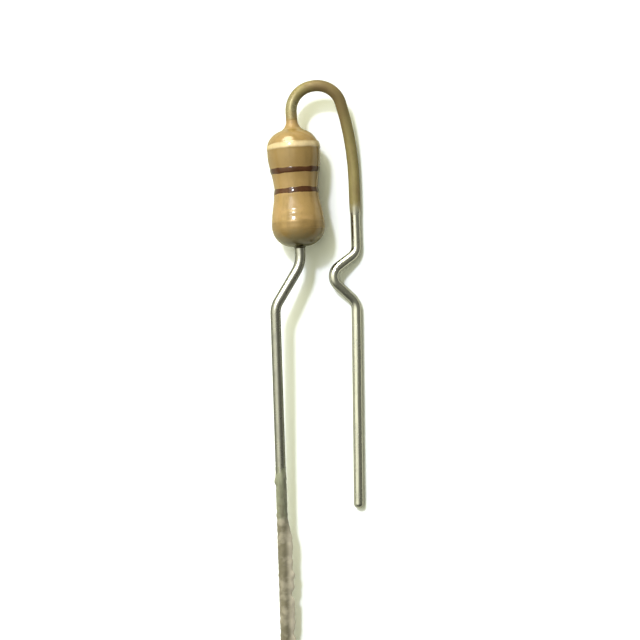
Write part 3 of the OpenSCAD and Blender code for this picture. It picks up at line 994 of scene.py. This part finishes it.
class RESISTOR_OT_lead_lacquer(bpy.types.Operator):
    """Coat the upper lead with the lacquer that the body was dipped in"""

    bl_idname = "resistor.lead_lacquer"
    bl_label = "Lead lacquer"

    def execute(self, context):
        body, leads, finish = settings_of(context)
        points, radii = upper_lead_path(body, leads)
        neck_end = dome_and_neck(body, leads, True)[1].y
        kink_top, leg_bend = points[4], points[3]
        stop = kink_top + (leg_bend - kink_top).normalized() * leads.lacquer_stop
        points = [axis_point(body, neck_end - leads.lacquer), points[1], points[2], leg_bend, stop]
        radii = radii[:4] + [0.0]
        coat_r = leads.wire_radius + leads.lacquer
        mesh = bmesh.new()
        wire = DrawnWire(mesh, points[0], corner(points, 1)[0], coat_r)
        wire.follow(points, radii, leads.lacquer_taper)
        for i in range(1, TIP_STEPS + 1):
            wire.straight(leads.lacquer_taper / TIP_STEPS)
            wire.resize(coat_r - leads.lacquer * TAPER_LOSS * (i / TIP_STEPS) ** TAPER_POWER)
        bmesh.ops.recalc_face_normals(mesh, faces=mesh.faces)
        whole_mesh = mesh.faces[:] + mesh.edges[:] + mesh.verts[:]
        bmesh.ops.solidify(mesh, geom=whole_mesh, thickness=leads.lacquer)
        piece = add_piece(mesh, "lead_lacquer", lead_lacquer_finish(finish, wire.along))
        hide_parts("lead_coating")
        return {"FINISHED"}


def trace_arc(mesh, vert, centre, angle):
    """Continues a profile round an arc in its own plane."""
    made = bmesh.ops.spin(mesh, geom=[vert], cent=centre, axis=(0.0, -1.0, 0.0), angle=angle,
                          steps=ARC_STEPS, use_merge=False)["geom_last"]
    return next(item for item in made if isinstance(item, bmesh.types.BMVert))


def trace_to(mesh, vert, radius, along):
    """Continues a profile by one straight stretch."""
    made = bmesh.ops.extrude_vert_indiv(mesh, verts=[vert])["verts"][0]
    made.co = Vector((radius, 0.0, along))
    return made


def trace_body(mesh, body, leads):
    """Half section of the body, from one lead to the other, in the XZ plane."""
    dome, neck, neck_r, meet = dome_and_neck(body, leads, False)
    vert = mesh.verts.new(Vector((0.0, 0.0, -neck.y)))
    vert = trace_to(mesh, vert, neck.x - neck_r, -neck.y)
    vert = trace_arc(mesh, vert, (neck.x, 0.0, -neck.y), -meet)
    vert = trace_arc(mesh, vert, (dome.x, 0.0, -dome.y), meet)
    for i in range(-WAIST_STEPS, WAIST_STEPS + 1):
        along = body.bulge_place * i / WAIST_STEPS
        vert = trace_to(mesh, vert, body_radius(body, along), along)
    dome, neck, _, meet = dome_and_neck(body, leads, True)
    vert = trace_to(mesh, vert, body.bulge_radius, dome.y)
    vert = trace_arc(mesh, vert, (dome.x, 0.0, dome.y), meet)
    vert = trace_arc(mesh, vert, (neck.x, 0.0, neck.y), -meet)
    trace_to(mesh, vert, 0.0, neck.y)


def turn_profile(mesh):
    """Spins a half section into a closed turned form."""
    bmesh.ops.spin(mesh, geom=mesh.verts[:] + mesh.edges[:], cent=(0.0, 0.0, 0.0), axis=(0.0, 0.0, 1.0),
                   angle=2 * pi, steps=BODY_SIDES, use_merge=True)
    bmesh.ops.remove_doubles(mesh, verts=mesh.verts, dist=WELD)


class RESISTOR_OT_body(bpy.types.Operator):
    """Turn the lacquered body and give it the unevenness of a dipped coat"""

    bl_idname = "resistor.body"
    bl_label = "Lacquered body"

    def execute(self, context):
        body, leads, finish = settings_of(context)
        mesh = bmesh.new()
        trace_body(mesh, body, leads)
        turn_profile(mesh)
        wire_r = leads.wire_radius + leads.lacquer
        for vert in mesh.verts:
            radius = hypot(vert.co.x, vert.co.y)
            angle = atan2(vert.co.y, vert.co.x)
            past = (vert.co.z - (body.upper_end - body.upper_dome)) / body.upper_dome
            shift = lacquer_wave(body, angle, vert.co.z)
            shift -= body.shoulder_skew * cos(angle) * sin(pi * held(past))
            shift *= held((radius - wire_r) / (body.waist_radius - wire_r))
            if radius > 0.0:
                factor = (radius + shift) / radius
                vert.co.x *= factor
                vert.co.y *= factor
        bmesh.ops.transform(mesh, matrix=on_axis(body), verts=mesh.verts)
        piece = add_piece(mesh, "lacquered_body", body_finish(body, finish))
        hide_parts("body_coating")
        return {"FINISHED"}


class RESISTOR_OT_bands(bpy.types.Operator):
    """Lay the four colour bands on the body as uneven beads of paint"""

    bl_idname = "resistor.bands"
    bl_label = "Colour bands"

    def execute(self, context):
        body, _, finish = settings_of(context)
        under = mixed(finish.tan, finish.tan_dark_and_shade, UNDER_BAND)
        white_half = body.white_width * WHITE_BEAD
        brown_half = body.brown_width / 2
        gold_half = body.gold_width * GOLD_BEAD
        white = band_finish("white_paint", finish.white, under, body.white_place,
                            WHITE_CORE * white_half, white_half, WHITE_GLOSS)
        brown = coated_finish("brown_paint", finish.brown, *BROWN_COAT)
        gold = band_finish("gold_paint", finish.gold, under, body.gold_place,
                           GOLD_CORE * gold_half, gold_half, GOLD_GLOSS, GOLD_METAL)
        self.lay(body, "white", body.white_place, white_half, body.paint, white)
        self.lay(body, "upper_brown", body.upper_brown_place, brown_half, body.paint, brown)
        self.lay(body, "lower_brown", body.lower_brown_place, brown_half, body.paint, brown)
        self.lay(body, "gold", body.gold_place, gold_half, GOLD_HEIGHT * body.paint, gold)
        return {"FINISHED"}

    def lay(self, body, name, place, half, height, material):
        mesh = bmesh.new()
        sunk = body.bulge_radius - body.paint
        vert = first = mesh.verts.new(Vector((sunk, 0.0, -half)))
        for i in range(BEAD_STEPS + 1):
            along = half * (2 * i / BEAD_STEPS - 1)
            bead = height * (1 - (along / half) ** BEAD_POWER)
            vert = trace_to(mesh, vert, body.bulge_radius + bead, along)
        vert = trace_to(mesh, vert, sunk, half)
        mesh.edges.new((vert, first))
        turn_profile(mesh)
        phase = BAND_PHASES[name]
        for vert in mesh.verts:
            angle = atan2(vert.co.y, vert.co.x)
            bead = hypot(vert.co.x, vert.co.y) - body.bulge_radius
            drift = swing(BAND_DRIFT, angle, phase)
            drift += swing(BAND_SWELL, angle, phase) * vert.co.z / half
            along = place + vert.co.z + body.band_wander * drift
            radius = body_radius(body, along) + lacquer_wave(body, angle, along) + bead
            vert.co = Vector((radius * cos(angle), radius * sin(angle), along))
        bmesh.ops.transform(mesh, matrix=on_axis(body), verts=mesh.verts)
        piece = add_piece(mesh, name + "_paint", material)
        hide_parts(name + "_band")


def lumpy(place, scale, squash=1.0):
    """Noise at a place on the wire, drawn out along it."""
    return noise.noise(Vector((place.x, place.y, place.z * squash)) * scale / MM)


class RESISTOR_OT_residue(bpy.types.Operator):
    """Leave old adhesive on the lower lead's tail"""

    bl_idname = "resistor.residue"
    bl_label = "Lead residue"

    def execute(self, context):
        body, leads, finish = settings_of(context)
        points, _ = lower_lead_path(body, leads)
        way = (points[3] - points[2]).normalized()
        right = Vector((0.0, 0.0, 1.0)).cross(way)
        start = points[2] + way * leads.residue_start
        mesh = bmesh.new()
        wire = DrawnWire(mesh, start, way, leads.wire_radius - leads.residue)
        wire.close(wire.first_edges)
        wire.straight(leads.residue_length, RESIDUE_STEPS)
        wire.close(wire.edges)
        fin = mesh.verts.layers.float.new("fin")
        for vert in mesh.verts:
            place = vert[wire.unbent]
            away = (vert.co - (start + way * place.z)).normalized()
            facing = away.dot(right)
            past = held((place.z - leads.residue_turn) / MM)
            vert[fin] = past * max(facing, 0.0) ** FIN_TONE_POWER
            vert.co += away * self.cover(leads, place, facing, past)
        add_piece(mesh, "lead_residue", residue_finish(finish, leads.residue_turn))
        return {"FINISHED"}

    def cover(self, leads, place, facing, past):
        """Height of the adhesive above the form that it starts from."""
        lumps = lumpy(place, *COARSE_LUMPS) + FINE_HEIGHT * lumpy(place, *FINE_LUMPS)
        height = leads.residue * (COVER_LEAST + max(COVER_LUMPS * lumps + COVER_LIFT, 0.0))
        from_lump = (place.z - leads.residue_lump_place) / leads.residue_lump
        lump = exp(-from_lump ** 2 / LUMP_SPREAD) * max(-facing, 0.0) ** LUMP_POWER
        ragged = FIN_MEAN + FIN_RAGGED * lumpy(Vector((0.0, 0.0, place.z)), FIN_SCALE)
        height += leads.residue_lump * lump
        height += leads.residue_fin * past * ragged * max(facing, 0.0) ** FIN_POWER
        torn = TORN_REACH * lumpy(place, *TORN_LUMPS)
        from_end = min(place.z, leads.residue_length - place.z) + torn
        return height * held(from_end / END_TAPER)


class RESISTOR_OT_core(bpy.types.Operator):
    """Finish the rod, film and caps inside the body"""

    bl_idname = "resistor.core"
    bl_label = "Core finishes"

    def execute(self, context):
        finish = context.scene.resistor_finishes
        ceramic = coated_finish("ceramic", finish.ceramic, *CERAMIC_COAT)
        carbon = coated_finish("carbon", finish.carbon, *CARBON_COAT)
        steel = coated_finish("plated_steel", finish.steel, *STEEL_COAT, metal=1.0, wave=CAP_WAVE)
        for node, material in (("ceramic_rod", ceramic), ("carbon_film", carbon),
                               ("upper_end_cap", steel), ("lower_end_cap", steel)):
            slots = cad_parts[node].data.materials
            slots.clear()
            slots.append(material)
        return {"FINISHED"}


class RESISTOR_OT_stage(bpy.types.Operator):
    """Set the floor, the light and the camera"""

    bl_idname = "resistor.stage"
    bl_label = "Stage"

    def execute(self, context):
        settings = context.scene.resistor_stage
        self.lay_floor(context, settings)
        self.hang_lamps(context, settings)
        self.light_room(context, settings)
        self.aim_camera(context, settings)
        context.scene.view_settings.view_transform = "Standard"
        return {"FINISHED"}

    def lay_floor(self, context, settings):
        material, tree, shader = new_material("floor")
        fill(shader, {
            "Base Color": tint([settings.floor_white] * 3),
            "Roughness": 1.0,
            "Specular IOR Level": 0.0,
            "Emission Color": tint(FLOOR_GLOW),
            "Emission Strength": put(tree, "ShaderNodeLightPath")["Is Camera Ray"]})
        mesh = bmesh.new()
        bmesh.ops.create_grid(mesh, x_segments=1, y_segments=1, size=settings.floor_half)
        data = bpy.data.meshes.new("floor")
        mesh.to_mesh(data)
        mesh.free()
        data.materials.append(material)
        floor = bpy.data.objects.new("floor", data)
        context.scene.collection.objects.link(floor)

    def hang_lamps(self, context, settings):
        middle = body_middle()
        lamps = (
            (settings.lamp_width, settings.lamp_power, settings.lamp_across, settings.lamp_along),
            (settings.side_lamp_width, settings.side_lamp_power, settings.side_lamp_across,
             settings.side_lamp_along))
        for width, power, across, along in lamps:
            lamp = bpy.data.lights.new("lamp", "AREA")
            lamp.shape = "DISK"
            lamp.size = width
            lamp.energy = power
            lamp.color = LAMP_TINT
            bulb = bpy.data.objects.new("lamp", lamp)
            bulb.location = (middle.x + across, middle.y + along, settings.lamp_height)
            bulb.visible_camera = False
            context.scene.collection.objects.link(bulb)

    def light_room(self, context, settings):
        world = bpy.data.worlds.new("studio")
        world.use_nodes = True
        tree = world.node_tree
        way = put(tree, "ShaderNodeTexCoord")["Generated"]
        mirrored = put(tree, "ShaderNodeLightPath")["Is Glossy Ray"]
        wide = self.lobe(way, WIDE_WAY, WIDE_CONE, settings.wide_light)
        wide = times(wide, spread(mirrored, 0.0, 1.0, settings.wide_matt, 1.0))
        window = self.lobe(way, WINDOW_WAY, WINDOW_CONE, settings.window_light)
        window = times(window, spread(mirrored, 0.0, 1.0, settings.window_matt, 1.0))
        room = times(spread(axis_value(way, "X"), *ROOM_SIDES), settings.room_light)
        room = times(room, spread(mirrored, 0.0, 1.0, 1.0, ROOM_MIRRORED))
        level = plus(plus(wide, window), room)
        level = times(level, spread(axis_value(way, "Y"), *NEAR_FADE))
        level = times(level, spread(axis_value(way, "Z"), *LOW_FADE))
        fill(tree.nodes["Background"], {
            "Color": blended(mirrored, MATT_TINT, MIRRORED_TINT), "Strength": level})
        context.scene.world = world

    def lobe(self, way, towards, cone, level):
        """Light that comes from about one direction."""
        inputs = {0: way, 1: Vector(towards).normalized()}
        facing = joined("ShaderNodeVectorMath", inputs, operation="DOT_PRODUCT")["Value"]
        return spread(facing, *cone, 0.0, level)

    def aim_camera(self, context, settings):
        middle = body_middle()
        lens = bpy.data.cameras.new("camera")
        lens.angle = 2 * atan(settings.view_half / settings.camera_height)
        lens.clip_start = VIEW_NEAR
        lens.clip_end = VIEW_FAR
        camera = bpy.data.objects.new("camera", lens)
        camera.location = (middle.x + settings.look_across, middle.y + settings.look_along,
                           settings.camera_height)
        context.scene.collection.objects.link(camera)
        context.scene.camera = camera


class RESISTOR_PT_panel(bpy.types.Panel):
    """Lists the steps that build the resistor"""

    bl_idname = "RESISTOR_PT_panel"
    bl_label = "Resistor"
    bl_space_type = "VIEW_3D"
    bl_region_type = "UI"
    bl_category = "Resistor"

    def draw(self, context):
        for operator in OPERATORS:
            self.layout.operator(operator.bl_idname)
        for group in SETTINGS:
            settings = getattr(context.scene, group)
            box = self.layout.box()
            for name in settings.bl_rna.properties.keys():
                if name not in ("rna_type", "name"):
                    box.prop(settings, name)


OPERATORS = (RESISTOR_OT_leads, RESISTOR_OT_lead_lacquer, RESISTOR_OT_body, RESISTOR_OT_bands,
             RESISTOR_OT_residue, RESISTOR_OT_core, RESISTOR_OT_stage)

SETTINGS = {"resistor_body": ResistorBodySizes, "resistor_leads": ResistorLeadSizes,
            "resistor_finishes": ResistorFinishes, "resistor_stage": ResistorStageSettings}

CLASSES = tuple(SETTINGS.values()) + OPERATORS + (RESISTOR_PT_panel,)


def register():
    for cls in CLASSES:
        bpy.utils.register_class(cls)
    for name, group in SETTINGS.items():
        setattr(bpy.types.Scene, name, PointerProperty(type=group))


def unregister():
    for name in SETTINGS:
        delattr(bpy.types.Scene, name)
    for cls in reversed(CLASSES):
        bpy.utils.unregister_class(cls)


def main():
    register()
    bpy.ops.resistor.leads()
    bpy.ops.resistor.lead_lacquer()
    bpy.ops.resistor.body()
    bpy.ops.resistor.bands()
    bpy.ops.resistor.residue()
    bpy.ops.resistor.core()
    bpy.ops.resistor.stage()


if __name__ == "__main__":
    main()
